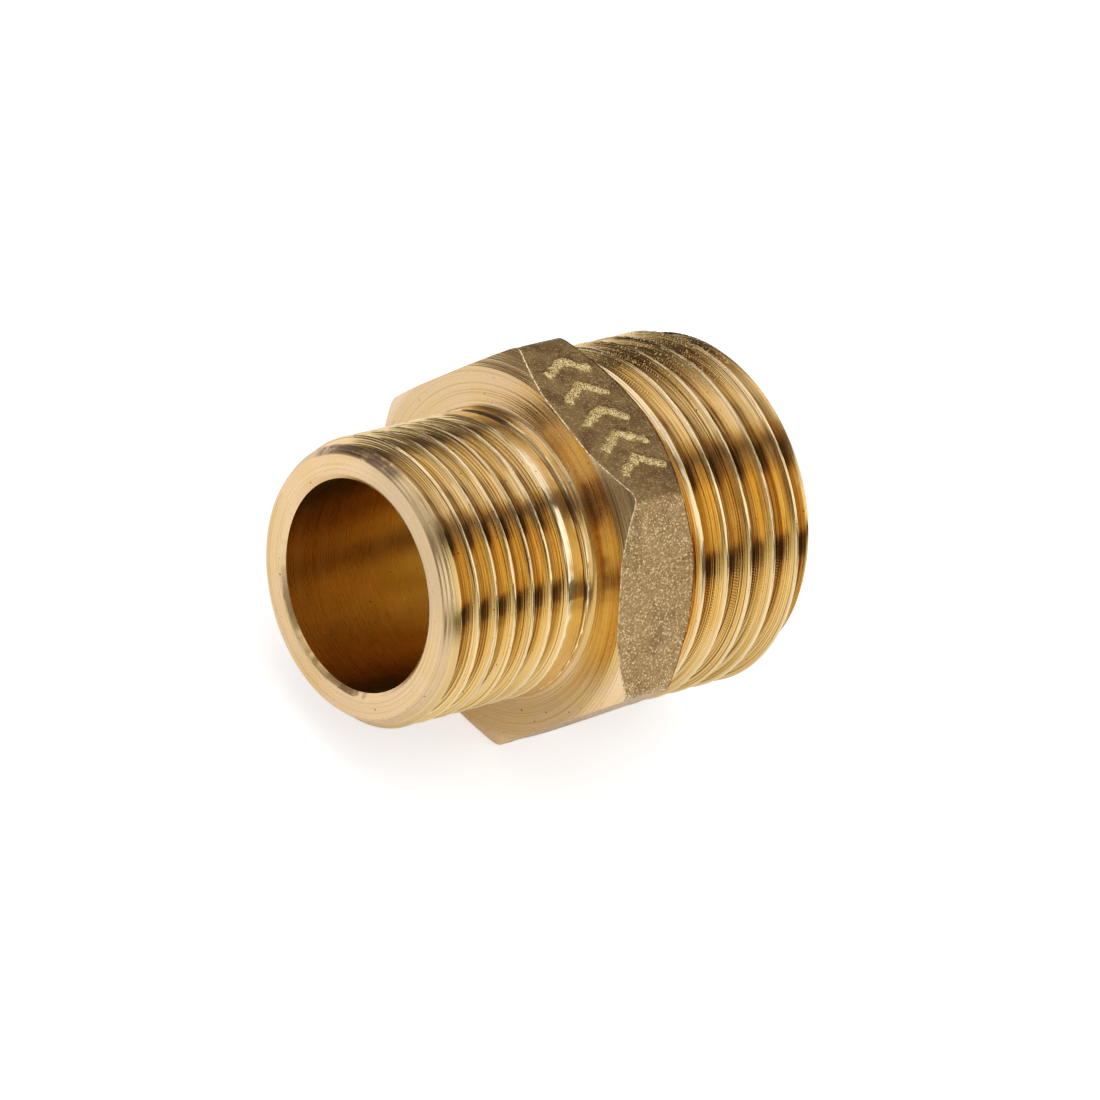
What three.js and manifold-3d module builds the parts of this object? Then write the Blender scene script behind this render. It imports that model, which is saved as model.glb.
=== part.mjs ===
// Reducing hex nipple in brass, G 3/8 to G 1/2: one forging with a thread on each end, a spanner
// hexagon between them and a bore right through.
//
// Units are millimetres, +Z is up. The nipple lies on one flat of its hexagon, and its axis runs
// along +X from the small thread to the large one. The origin is the middle of the bounding box
// at its lowest face. All shapes are first made about the nipple's own axis, with x = 0 on the
// small end face, and moved to that origin at the end.

import * as THREE from 'three';
import { mergeVertices } from 'three/addons/utils/BufferGeometryUtils.js';
import Module from 'manifold-3d';

const wasm = await Module();
wasm.setup();

// ---------------------------------------------------------------- driving dimensions

const LENGTH = 26.1;
const FACETS = 36; // round surfaces are cut into this many flats

// Hexagon
const ACROSS_FLATS = 20.8;
const HEX_FRONT = 10.55;
const HEX_REAR = 16.2;
const HEX_CORNER_RADIUS = 0.9;
const HEX_CORNER_STEPS = 4;
const FRONT_CHAMFER = { startRadius: 10.63, slope: 0.69 }; // slope is axial depth per radial step
const REAR_CHAMFER = { startRadius: 10.4, slope: 0.93 };
const CHAMFER_REACH = 12.3; // radius just outside the hexagon's corners

// Whitworth threads: the depth and the crest and root lands follow from the pitch
const FLANK_ANGLE = THREE.MathUtils.degToRad(27.5);
const DEPTH_PER_PITCH = 0.6403;
const LAND_PER_PITCH = 1 / 6;
const CUTTER_OVERSHOOT = 0.1; // how far a thread cutter stands proud of the crests

// crestAtY is where a crest crosses the +Y side; the thread runs on right-handed from there.
// The groove is full depth up to fullTo, eases to easedDepth at easedTo and ends at endAt. The large
// thread's groove runs on into the hexagon's place, where the hexagon's own metal covers its end.
const SMALL_THREAD = {
  crestRadius: 8.29,
  pitch: 1.337,
  crestAtY: 1.54,
  startAt: -1.15,
  fullTo: 8.45,
  easedTo: 9.7,
  easedDepth: 0.55,
  endAt: 10.0,
};
const LARGE_THREAD = {
  crestRadius: 10.39,
  pitch: 1.814,
  crestAtY: 16.3,
  startAt: 27.85,
  fullTo: 16.4,
  easedTo: 16.0,
  easedDepth: 0.75,
  endAt: 15.5,
};

// End faces and the necks beside the hexagon
const SMALL_END = { faceRadius: 7.53, chamfer: 1.05 };
const LARGE_END = { faceRadius: 9.36, chamfer: 1.1 };
const FRONT_FILLET = 0.55;
const REAR_NECK = { radius: 10.1, from: 16.3, to: 16.5 };

// Bore: narrow through the small end, opened out from the large end
const BORE_RADIUS = 6.1;
const BORE_BEVEL = { depth: 0.25, width: 0.37 };
const WIDE_BORE_RADIUS = 7.7;
const WIDE_BORE_FROM = 16.85;
const DRILL_POINT_DEPTH = 0.92; // length of the conical step that the drill's point leaves
const CUT_MARGIN = 1;

// Raised forging mark on the top flat: a row of plain chevrons
const MARK = { count: 5, spacing: 1.9, reach: 1.3, sweep: 0.85, stroke: 0.62, height: 0.2 };
const MARK_CENTRE_X = 13.4;
const MARK_ROOT = 0.4; // how far the chevrons are sunk in, so that they join the flat

const brass = new THREE.MeshStandardMaterial({
  name: 'brass',
  color: 0xc79a4b,
  roughness: 0.32,
  metalness: 1,
});

// ---------------------------------------------------------------- solids from three.js geometry

function toManifold(geometry) {
  const bare = geometry.index ? geometry.toNonIndexed() : geometry.clone();
  bare.deleteAttribute('normal');
  bare.deleteAttribute('uv');
  const merged = mergeVertices(bare, 1e-4);
  return new wasm.Manifold(new wasm.Mesh({
    numProp: 3,
    vertProperties: new Float32Array(merged.attributes.position.array),
    triVerts: new Uint32Array(merged.index.array),
  }));
}

function toGeometry(manifold) {
  const mesh = manifold.getMesh();
  const geometry = new THREE.BufferGeometry();
  geometry.setAttribute('position', new THREE.BufferAttribute(mesh.vertProperties, 3));
  geometry.setIndex(new THREE.BufferAttribute(mesh.triVerts, 1));
  geometry.computeVertexNormals();
  return geometry;
}

// Turns a profile of [x, radius] points about the nipple's axis. It starts and ends on the axis.
function turned(profile) {
  const points = profile.map(([x, radius]) => new THREE.Vector2(radius, x));
  const geometry = new THREE.LatheGeometry(points, FACETS);
  geometry.rotateZ(-Math.PI / 2);
  return toManifold(geometry);
}

// Extrudes an outline drawn in the plane across the axis, from x = from to x = to.
function extrudedAlongAxis(shape, from, to, curveSegments) {
  const geometry = new THREE.ExtrudeGeometry(shape, {
    depth: to - from,
    bevelEnabled: false,
    curveSegments,
  });
  const along = new THREE.Vector3(1, 0, 0);
  const across = new THREE.Vector3(0, 1, 0);
  const up = new THREE.Vector3(0, 0, 1);
  geometry.applyMatrix4(new THREE.Matrix4().makeBasis(across, up, along));
  geometry.translate(from, 0, 0);
  return toManifold(geometry);
}

// ---------------------------------------------------------------- the turned blank

// A quarter-round hollow from a cylinder up to a face that stands square on it.
function filletPoints(faceX, cylinderRadius, filletRadius, steps) {
  const points = [];
  for (let i = 0; i <= steps; i += 1) {
    const angle = (i / steps) * (Math.PI / 2);
    const x = faceX - filletRadius + filletRadius * Math.sin(angle);
    const radius = cylinderRadius + filletRadius * (1 - Math.cos(angle));
    points.push([x, radius]);
  }
  return points;
}

function threadBlank() {
  const small = SMALL_THREAD.crestRadius;
  const large = LARGE_THREAD.crestRadius;
  return turned([
    [0, 0],
    [0, SMALL_END.faceRadius],
    [SMALL_END.chamfer, small],
    ...filletPoints(HEX_FRONT, small, FRONT_FILLET, 4),
    [HEX_FRONT + 1, small + FRONT_FILLET],
    [HEX_REAR - 1, REAR_NECK.radius],
    [REAR_NECK.from, REAR_NECK.radius],
    [REAR_NECK.to, large],
    [LENGTH - LARGE_END.chamfer, large],
    [LENGTH, LARGE_END.faceRadius],
    [LENGTH, 0],
  ]);
}

// ---------------------------------------------------------------- the hexagon

function hexOutline() {
  const shape = new THREE.Shape();
  const centreDistance = (ACROSS_FLATS / 2 - HEX_CORNER_RADIUS) / Math.cos(Math.PI / 6);
  for (let corner = 0; corner < 6; corner += 1) {
    const angle = corner * (Math.PI / 3);
    const y = centreDistance * Math.cos(angle);
    const z = centreDistance * Math.sin(angle);
    shape.absarc(y, z, HEX_CORNER_RADIUS, angle - Math.PI / 6, angle + Math.PI / 6);
  }
  shape.closePath();
  return shape;
}

// The lathe's cut on both faces of the hexagon: a flat face, then a cone that takes the corners.
function hexChamferEnvelope() {
  const frontDepth = FRONT_CHAMFER.slope * (CHAMFER_REACH - FRONT_CHAMFER.startRadius);
  const rearDepth = REAR_CHAMFER.slope * (CHAMFER_REACH - REAR_CHAMFER.startRadius);
  return turned([
    [HEX_FRONT, 0],
    [HEX_FRONT, FRONT_CHAMFER.startRadius],
    [HEX_FRONT + frontDepth, CHAMFER_REACH],
    [HEX_REAR - rearDepth, CHAMFER_REACH],
    [HEX_REAR, REAR_CHAMFER.startRadius],
    [HEX_REAR, 0],
  ]);
}

function hexagon() {
  const prism = extrudedAlongAxis(hexOutline(), HEX_FRONT - 1, HEX_REAR + 1, HEX_CORNER_STEPS);
  return prism.intersect(hexChamferEnvelope());
}

// ---------------------------------------------------------------- the threads

// How deep the groove is, from 1 for full depth to 0 where the cutter has left the metal.
function depthShare(thread, x) {
  const { fullTo, easedTo, easedDepth, endAt } = thread;
  const outward = Math.sign(endAt - fullTo);
  if ((x - fullTo) * outward <= 0) return 1;
  if ((x - easedTo) * outward <= 0) {
    return THREE.MathUtils.mapLinear(x, fullTo, easedTo, 1, easedDepth);
  }
  return Math.max(0, THREE.MathUtils.mapLinear(x, easedTo, endAt, easedDepth, 0));
}

// The groove's cutter: a straight bar of the groove's section, wound onto the thread's helix.
// In the straight bar, x is across the groove, y is height above the root and z counts turns.
function threadCutter(thread) {
  const { crestRadius, pitch, crestAtY, startAt, endAt } = thread;
  const depth = DEPTH_PER_PITCH * pitch;
  const rootHalf = (LAND_PER_PITCH * pitch) / 2;
  const top = depth + CUTTER_OVERSHOOT;
  const topHalf = rootHalf + top * Math.tan(FLANK_ANGLE);
  const section = new THREE.Shape([
    new THREE.Vector2(-rootHalf, 0),
    new THREE.Vector2(rootHalf, 0),
    new THREE.Vector2(topHalf, top),
    new THREE.Vector2(-topHalf, top),
  ]);

  const grooveAtY = crestAtY + pitch / 2;
  const turnOf = (x) => Math.round(((x - grooveAtY) / pitch) * FACETS) / FACETS;
  const firstTurn = turnOf(Math.min(startAt, endAt));
  const lastTurn = turnOf(Math.max(startAt, endAt));
  const turns = lastTurn - firstTurn;
  const geometry = new THREE.ExtrudeGeometry(section, {
    depth: turns,
    steps: Math.round(turns * FACETS),
    bevelEnabled: false,
  });

  const position = geometry.attributes.position;
  for (let i = 0; i < position.count; i += 1) {
    const turn = firstTurn + position.getZ(i);
    const centre = grooveAtY + pitch * turn;
    const lift = depth * (1 - depthShare(thread, centre));
    const radius = crestRadius - depth + lift + position.getY(i);
    const angle = turn * 2 * Math.PI;
    const x = centre + position.getX(i);
    position.setXYZ(i, x, radius * Math.cos(angle), radius * Math.sin(angle));
  }
  return toManifold(geometry);
}

// ---------------------------------------------------------------- the bore

function boreCutter() {
  const mouth = BORE_RADIUS + BORE_BEVEL.width;
  const wideMouth = WIDE_BORE_RADIUS + BORE_BEVEL.width;
  return turned([
    [-CUT_MARGIN, 0],
    [-CUT_MARGIN, mouth],
    [0, mouth],
    [BORE_BEVEL.depth, BORE_RADIUS],
    [WIDE_BORE_FROM - DRILL_POINT_DEPTH, BORE_RADIUS],
    [WIDE_BORE_FROM, WIDE_BORE_RADIUS],
    [LENGTH - BORE_BEVEL.depth, WIDE_BORE_RADIUS],
    [LENGTH, wideMouth],
    [LENGTH + CUT_MARGIN, wideMouth],
    [LENGTH + CUT_MARGIN, 0],
  ]);
}

// ---------------------------------------------------------------- the raised mark

function chevronOutline(offset) {
  const { reach, sweep, stroke } = MARK;
  return new THREE.Shape([
    new THREE.Vector2(-reach, offset - sweep / 2),
    new THREE.Vector2(0, offset + sweep / 2),
    new THREE.Vector2(reach, offset - sweep / 2),
    new THREE.Vector2(reach, offset - sweep / 2 + stroke),
    new THREE.Vector2(0, offset + sweep / 2 + stroke),
    new THREE.Vector2(-reach, offset - sweep / 2 + stroke),
  ]);
}

function raisedMark() {
  const middle = (MARK.count - 1) / 2;
  const chevrons = [];
  for (let i = 0; i < MARK.count; i += 1) {
    const offset = (i - middle) * MARK.spacing - MARK.stroke / 2;
    const geometry = new THREE.ExtrudeGeometry(chevronOutline(offset), {
      depth: MARK_ROOT + MARK.height,
      bevelEnabled: false,
    });
    geometry.translate(MARK_CENTRE_X, 0, ACROSS_FLATS / 2 - MARK_ROOT);
    chevrons.push(toManifold(geometry));
  }
  return chevrons.reduce((joined, chevron) => joined.add(chevron));
}

// ---------------------------------------------------------------- the nipple

function nippleBody() {
  const solid = threadBlank()
    .subtract(threadCutter(SMALL_THREAD))
    .subtract(threadCutter(LARGE_THREAD))
    .add(hexagon())
    .add(raisedMark())
    .subtract(boreCutter());
  const mesh = new THREE.Mesh(toGeometry(solid), brass);
  mesh.name = 'nipple_body';
  return mesh;
}

const nipple = new THREE.Group();
const body = nippleBody();
body.position.set(-LENGTH / 2, 0, ACROSS_FLATS / 2);
nipple.add(body);

export default nipple;
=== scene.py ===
"""Looks for the brass reducing hex nipple: one fine mesh in place of the plain CAD body.

The mesh is a single closed skin. It is laid out in rings round the bore axis: up the small end
face, along the small thread, over the hexagon, along the large thread, down the large end face
and back through the bore. Lengths are millimetres until the vertices are written, in metres.
"""

import math

import bpy
import numpy as np
from mathutils import Matrix, Vector


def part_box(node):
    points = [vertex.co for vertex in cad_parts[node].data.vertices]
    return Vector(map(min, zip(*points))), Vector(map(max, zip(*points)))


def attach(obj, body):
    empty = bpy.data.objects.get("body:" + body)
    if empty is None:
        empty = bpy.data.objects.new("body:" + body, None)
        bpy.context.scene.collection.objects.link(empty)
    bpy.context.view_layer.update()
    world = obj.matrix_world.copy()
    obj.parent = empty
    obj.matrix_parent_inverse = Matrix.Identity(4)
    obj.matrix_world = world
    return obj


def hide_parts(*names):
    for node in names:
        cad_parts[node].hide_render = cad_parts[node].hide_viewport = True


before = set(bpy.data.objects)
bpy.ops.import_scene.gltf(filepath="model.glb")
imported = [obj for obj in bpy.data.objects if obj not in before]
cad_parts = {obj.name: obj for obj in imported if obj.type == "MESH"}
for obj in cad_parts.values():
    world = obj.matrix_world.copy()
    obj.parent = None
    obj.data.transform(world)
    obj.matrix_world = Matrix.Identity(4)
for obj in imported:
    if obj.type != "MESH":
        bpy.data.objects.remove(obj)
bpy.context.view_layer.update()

MM = 0.001
NODE = "nipple_body"

# ---------------------------------------------------------------- sizes, in millimetres

node_low, node_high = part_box(NODE)
LENGTH = (node_high.x - node_low.x) / MM
MARK_HEIGHT = 0.2
ACROSS_FLATS = (node_high.z - node_low.z) / MM - MARK_HEIGHT
SMALL_END_X = node_low.x / MM
AXIS_HEIGHT = node_low.z / MM + ACROSS_FLATS / 2

# Hexagon
HEX_FRONT = 10.55
HEX_REAR = 16.2
HEX_CORNER_RADIUS = 0.9
FRONT_CHAMFER_START = 10.63
FRONT_CHAMFER_SLOPE = 0.69
REAR_CHAMFER_START = 10.4
REAR_CHAMFER_SLOPE = 0.93
EDGE_ROUNDING = 0.1

# Ends, necks and bore
SMALL_FACE_RADIUS = 7.53
SMALL_CHAMFER = 1.05
# The small end's chamfer is turned in steps: distance from the end face, and radius
CHAMFER_STEPS = [
    (0.0, SMALL_FACE_RADIUS), (0.07, 7.63),
    (0.22, 7.68), (0.27, 7.76),
    (0.42, 7.8), (0.47, 7.88),
]
LARGE_FACE_RADIUS = 9.36
LARGE_CHAMFER = 1.1
FRONT_FILLET = 0.35
REAR_NECK_RADIUS = 10.1
REAR_NECK_FROM = 16.3
REAR_NECK_TO = 16.5
BORE_RADIUS = 6.1
BORE_BEVEL_DEPTH = 0.25
BORE_BEVEL_WIDTH = 0.37
WIDE_BORE_RADIUS = 7.7
WIDE_BORE_FROM = 16.85
DRILL_POINT_DEPTH = 0.92

# Threads. crest_at_y is where a crest crosses the nipple's +Y side. The groove is full depth up to
# full_to, has eased_share of its depth at eased_to, and is gone at end_at.
FLANK_TAN = math.tan(math.radians(30.8))
ROOT_ARC = math.radians(62.5)
DEPTH_PER_PITCH = 0.6403
ROOT_RADIUS_PER_PITCH = 0.137
CREST_SOFTNESS = 0.012
LINE_RELIEF = 0.009
CREST_RAGGEDNESS = 0.02
BURR_RAGGEDNESS = 0.07
BURRED_STRETCH = (18.5, 20)
BURRED_ANGLE = math.radians(60)
SMALL_THREAD = {
    "crest_radius": 8.29, "pitch": 1.337, "crest_at_y": 1.54,
    "full_to": 8.45, "eased_to": 9.3, "eased_share": 0.18, "end_at": 10.0, "drift": 0.55,
    "seed": 41,
}
LARGE_THREAD = {
    "crest_radius": 10.39, "pitch": 1.814, "crest_at_y": 16.3,
    "full_to": 16.4, "eased_to": 16.0, "eased_share": 0.75, "end_at": 15.5, "drift": 0.0,
    "seed": 42,
}

# Raised mark: a row of plain chevrons on the top flat
MARK_COUNT = 5
MARK_SPACING = 1.9
MARK_REACH = 1.4
MARK_TIP_Y = 0.475
MARK_FOOT_Y = -0.375
MARK_STROKE = 0.76
MARK_CENTRE_X = 13.4

# Mesh fineness
THREAD_COLUMNS = 240
HEX_COLUMNS = 2 * THREAD_COLUMNS
FLAT_STEPS = 36
# Samples of a groove's wall: shares of its half width, then distances from its lip, in mm,
# which draw together where the groove is narrower than LIP_HALF_WIDTH
WALL_SHARES = (0.15, 0.32, 0.5, 0.68, 0.85)
LIP_OFFSETS = (-0.03, 0, 0.02, 0.045)
LIP_HALF_WIDTH = 0.2

# Material slots, in the order in which brass_materials makes them
THREAD, TURNED, FORGED, BORE, EDGE = range(5)


# ---------------------------------------------------------------- seeded smooth noise

def smooth_noise(x, y, seed):
    """Value noise between -1 and 1 on unit cells."""
    size = 256
    lattice = np.random.default_rng(seed).uniform(-1, 1, (size, size))
    x, y = np.broadcast_arrays(x, y)
    x0, y0 = np.floor(x).astype(int), np.floor(y).astype(int)
    fx, fy = x - x0, y - y0
    fx, fy = fx * fx * (3 - 2 * fx), fy * fy * (3 - 2 * fy)
    rows = (x0 % size, (x0 + 1) % size)
    columns = (y0 % size, (y0 + 1) % size)
    low = lattice[rows[0], columns[0]] * (1 - fy) + lattice[rows[0], columns[1]] * fy
    high = lattice[rows[1], columns[0]] * (1 - fy) + lattice[rows[1], columns[1]] * fy
    return low * (1 - fx) + high * fx


def smooth_step(value, low, high):
    t = np.clip((value - low) / (high - low), 0, 1)
    return t * t * (3 - 2 * t)


# ---------------------------------------------------------------- the skin, built strip by strip

class Skin:
    """Collects vertices, faces, face corner coordinates and materials, then makes the mesh."""

    def __init__(self):
        self.points = []
        self.count = 0
        self.faces = []
        self.uvs = []
        self.materials = []

    def add_points(self, x, radius, angle):
        """Adds a grid of points given in cylindrical coordinates and returns their numbers."""
        x, radius, angle = np.broadcast_arrays(x, radius, angle)
        xyz = np.stack([x, radius * np.cos(angle), radius * np.sin(angle)], axis=-1)
        numbers = self.count + np.arange(x.size).reshape(x.shape)
        self.points.append(xyz.reshape(-1, 3))
        self.count += x.size
        return numbers

    def add_faces(self, corners, uv, material):
        """corners is (faces, 3 or 4) point numbers, uv is (faces, 3 or 4, 2)."""
        self.faces.append(corners)
        self.uvs.append(uv)
        self.materials.append(np.full(len(corners), material))

    def mesh(self, name):
        """Merges points that meet, drops faces that have shrunk away, and makes the mesh."""
        points = np.concatenate(self.points)
        _, first, merged = np.unique(
            np.round(points, 5), axis=0, return_index=True, return_inverse=True
        )
        merged = merged.ravel()
        faces, uvs, materials = [], [], []
        for corners, uv, material in zip(self.faces, self.uvs, self.materials):
            corners = merged[corners]
            keep = corners != np.roll(corners, 1, axis=1)
            for row, mask, coords, slot in zip(corners, keep, uv, material):
                row = row[mask]
                if len(row) > 2 and len(set(row)) == len(row):
                    faces.append(row.tolist())
                    uvs.append(coords[mask])
                    materials.append(slot)
        origin = np.array([SMALL_END_X, 0, AXIS_HEIGHT])
        mesh = bpy.data.meshes.new(name)
        mesh.from_pydata(((points[first] + origin) * MM).tolist(), [], faces)
        layer = mesh.uv_layers.new(name="turning")
        layer.data.foreach_set("uv", np.concatenate(uvs).ravel())
        mesh.polygons.foreach_set("material_index", np.array(materials, dtype=np.int32))
        mesh.update()
        return mesh


def ring_angles(columns):
    return 2 * math.pi * np.arange(columns) / columns


def add_rings(skin, x, radius, columns, material, start_u=0.0):
    """A band of rings. x and radius are (rings,) or (rings, columns). Returns the point numbers."""
    x, radius = (a[:, None] if a.ndim == 1 else a for a in (np.asarray(x), np.asarray(radius)))
    x, radius = np.broadcast_arrays(x, radius, np.empty((1, columns)))[:2]
    numbers = skin.add_points(x, radius, ring_angles(columns)[None, :])
    widths = np.hypot(np.diff(x.mean(1)), np.diff(radius.mean(1)))
    u = start_u + np.concatenate([[0], np.cumsum(widths)])
    following = np.roll(numbers, -1, axis=1)
    corners = np.stack([numbers[:-1], following[:-1], following[1:], numbers[1:]], axis=-1)
    v = np.arange(columns) / columns
    u0, v0 = np.broadcast_arrays(u[:-1, None], v[None, :])
    u1, v1 = np.broadcast_arrays(u[1:, None], v[None, :] + 1 / columns)
    uv = np.stack([u0, v0, u0, v1, u1, v1, u1, v0], axis=-1).reshape(-1, 4, 2)
    skin.add_faces(corners.reshape(-1, 4), uv, material)
    return numbers


def join_coarse_to_fine(skin, coarse, fine, material, coarse_first):
    """Three triangles for each coarse step between a ring and one with twice as many points."""
    coarse_next = np.roll(coarse, -1)
    near, middle = fine[0::2], fine[1::2]
    far = np.roll(near, -1)
    triangles = [(coarse, middle, near), (coarse, coarse_next, middle), (coarse_next, far, middle)]
    for a, b, c in triangles:
        corners = np.stack([a, b, c] if coarse_first else [a, c, b], axis=-1)
        v = np.arange(len(coarse)) / len(coarse)
        uv = np.zeros((len(coarse), 3, 2))
        uv[:, :, 1] = v[:, None]
        skin.add_faces(corners, uv, material)


# ---------------------------------------------------------------- threads

def depth_share(thread, x):
    """1 where the groove is full depth, falling to 0 where the cutter has left the metal."""
    stations = [thread["full_to"], thread["eased_to"], thread["end_at"]]
    shares = [1.0, thread["eased_share"], 0.0]
    if stations[0] > stations[-1]:
        stations, shares = stations[::-1], shares[::-1]
    return np.interp(x, stations, shares)


def groove_height(distance, root_radius):
    """Height of the groove's wall above its root, at a distance from the groove's middle."""
    tangent_y = root_radius * math.sin(ROOT_ARC)
    tangent_height = root_radius * (1 - math.cos(ROOT_ARC))
    arc = root_radius - np.sqrt(np.maximum(root_radius**2 - distance**2, 0))
    flank = tangent_height + (distance - tangent_y) / FLANK_TAN
    return np.where(distance < tangent_y, arc, flank)


def groove_half_width(depth, root_radius):
    """Distance from the groove's middle at which its wall reaches the given height."""
    tangent_y = root_radius * math.sin(ROOT_ARC)
    tangent_height = root_radius * (1 - math.cos(ROOT_ARC))
    in_arc = np.sqrt(np.maximum(root_radius**2 - (root_radius - depth)**2, 1e-6))
    on_flank = tangent_y + (depth - tangent_height) * FLANK_TAN
    return np.where(depth < tangent_height, in_arc, on_flank)


def soft_minimum(a, b):
    return -CREST_SOFTNESS * np.logaddexp(-a / CREST_SOFTNESS, -b / CREST_SOFTNESS)


def turns_along(thread, start_x, end_x):
    """Turns of the helix at each column and turn, from before start_x to past end_x."""
    groove_at_y = thread["crest_at_y"] + thread["pitch"] / 2
    turns = np.arange(
        math.floor((start_x - groove_at_y) / thread["pitch"]) - 2,
        math.ceil((end_x - groove_at_y) / thread["pitch"]) + 2,
    )
    return turns[None, :] + np.arange(THREAD_COLUMNS)[:, None] / THREAD_COLUMNS


def sample_distances(pitch, half_width):
    """Distances from the groove's middle at which its cross-section is sampled."""
    wall = [half_width * share for share in WALL_SHARES]
    lip = np.minimum(half_width / LIP_HALF_WIDTH, 1)
    wall = wall + [half_width + offset * lip for offset in LIP_OFFSETS]
    return [-pitch / 2 + 0 * half_width] + [-w for w in wall[::-1]] + [0 * half_width] + wall


def path_over_groove(pitch):
    """Distance over a full groove's surface, up to each sample of its cross-section."""
    depth = DEPTH_PER_PITCH * pitch
    root_radius = ROOT_RADIUS_PER_PITCH * pitch
    half_width = groove_half_width(np.array(depth), root_radius)
    across = np.array(sample_distances(pitch, half_width) + [pitch / 2])
    height = np.minimum(groove_height(np.abs(across), root_radius), depth)
    return np.concatenate([[0], np.cumsum(np.hypot(np.diff(across), np.diff(height)))])


def thread_wear(thread, along, x, on_crest):
    """How far the tool's lines and the ragged crests lie below the true form."""
    rows = np.arange(x.shape[-1])
    lines = 0.5 * smooth_noise(along * 6, rows, thread["seed"])
    lines = lines + 0.5 * smooth_noise(along * 0, rows, thread["seed"] + 10)
    ragged = smooth_noise(along * THREAD_COLUMNS * 0.9, rows * 0.3, thread["seed"] + 20)
    angle = ring_angles(THREAD_COLUMNS)[:, None, None]
    burred = smooth_step(x, *BURRED_STRETCH) * smooth_step(np.cos(angle - BURRED_ANGLE), 0.93, 1)
    raggedness = CREST_RAGGEDNESS + BURR_RAGGEDNESS * burred
    return LINE_RELIEF * (1 + lines) + raggedness * on_crest * (1 + ragged) / 2


def thread_surface(thread, along):
    """x and radius of the cut thread, by column, turn and sample of the groove."""
    pitch = thread["pitch"]
    root_radius = ROOT_RADIUS_PER_PITCH * pitch
    centre = thread["crest_at_y"] + pitch / 2 + pitch * along
    depth = DEPTH_PER_PITCH * pitch * depth_share(thread, centre)
    centre = centre + thread["drift"] * smooth_step(centre, thread["full_to"], thread["eased_to"])
    half_width = groove_half_width(depth, root_radius)[..., None]
    depth = depth[..., None]
    across = np.stack(sample_distances(pitch, half_width[..., 0]), axis=-1)
    height = groove_height(np.abs(across), root_radius)
    x = centre[..., None] + across
    radius = thread["crest_radius"] - depth + soft_minimum(height, depth)
    on_crest = smooth_step(np.abs(across), half_width - 0.05, half_width)
    return x, radius - thread_wear(thread, along[..., None], x, on_crest)


def add_thread(skin, thread, start, end, blank_radius):
    """A threaded band between the rings start and end, each (x, radius).

    The grid's rows follow the helix, so row q of the last column meets row q + samples of the
    first. Rows beyond the band's ends shrink onto its end rings and vanish when points merge.
    """
    x, radius = thread_surface(thread, turns_along(thread, start[0], end[0]))
    samples = x.shape[-1]
    x = x.reshape(THREAD_COLUMNS, -1)
    radius = np.minimum(radius.reshape(THREAD_COLUMNS, -1), blank_radius(x))
    for outside, (edge_x, edge_radius) in ((x <= start[0], start), (x >= end[0], end)):
        x = np.where(outside, edge_x, x)
        radius = np.where(outside, edge_radius, radius)

    numbers = skin.add_points(x, radius, ring_angles(THREAD_COLUMNS)[:, None])
    beyond = np.roll(numbers[:1], -samples, axis=1)
    following = np.concatenate([numbers[1:], beyond])
    corners = np.stack(
        [numbers[:, :-1], following[:, :-1], following[:, 1:], numbers[:, 1:]], axis=-1
    )
    path = path_over_groove(thread["pitch"])
    row = np.arange(x.shape[1] - 1)
    turn, sample = row // samples, row % samples
    round_turn = turn[None, :] + np.arange(THREAD_COLUMNS)[:, None] / THREAD_COLUMNS
    u0, v0 = np.broadcast_arrays(path[sample][None, :], round_turn)
    u1, v1 = np.broadcast_arrays(path[sample + 1][None, :], v0 + 1 / THREAD_COLUMNS)
    uv = np.stack([u0, v0, u0, v1, u1, v1, u1, v0], axis=-1)
    usable = np.ones(corners.shape[:2], dtype=bool)
    usable[-1, -samples:] = False
    skin.add_faces(corners[usable], uv[usable].reshape(-1, 4, 2), THREAD)
    return numbers[:, 0], numbers[:, -1]


def small_blank_radius(x):
    """Radius of the turned blank along the small thread, past the chamfer's steps."""
    step_x, step_radius = CHAMFER_STEPS[-1]
    crest = SMALL_THREAD["crest_radius"]
    return np.interp(x, [step_x, SMALL_CHAMFER], [step_radius, crest])


def large_blank_radius(x):
    crest = LARGE_THREAD["crest_radius"]
    from_end = LENGTH - x
    chamfer = LARGE_FACE_RADIUS + from_end * (crest - LARGE_FACE_RADIUS) / LARGE_CHAMFER
    neck = np.interp(x, [REAR_NECK_FROM, REAR_NECK_TO], [REAR_NECK_RADIUS, crest])
    return np.minimum(chamfer, neck)


# ---------------------------------------------------------------- hexagon

def hexagon_radius(angle):
    """Distance from the axis to the hexagon's side, with its flats facing up and down."""
    half = ACROSS_FLATS / 2
    from_corner = np.abs((angle + math.pi / 6) % (math.pi / 3) - math.pi / 6)
    centre = (half - HEX_CORNER_RADIUS) / math.cos(math.pi / 6)
    flat = half / np.cos(math.pi / 6 - from_corner)
    reach = np.maximum(HEX_CORNER_RADIUS**2 - (centre * np.sin(from_corner))**2, 0)
    rounded = centre * np.cos(from_corner) + np.sqrt(reach)
    tangent = math.atan2(
        HEX_CORNER_RADIUS * math.sin(math.pi / 6),
        centre + HEX_CORNER_RADIUS * math.cos(math.pi / 6),
    )
    return np.where(from_corner > tangent, flat, rounded)


def distance_to_segment(x, y, start, end):
    ax, ay = start
    dx, dy = end[0] - ax, end[1] - ay
    along = np.clip(((x - ax) * dx + (y - ay) * dy) / (dx * dx + dy * dy), 0, 1)
    return np.hypot(x - ax - along * dx, y - ay - along * dy)


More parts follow.
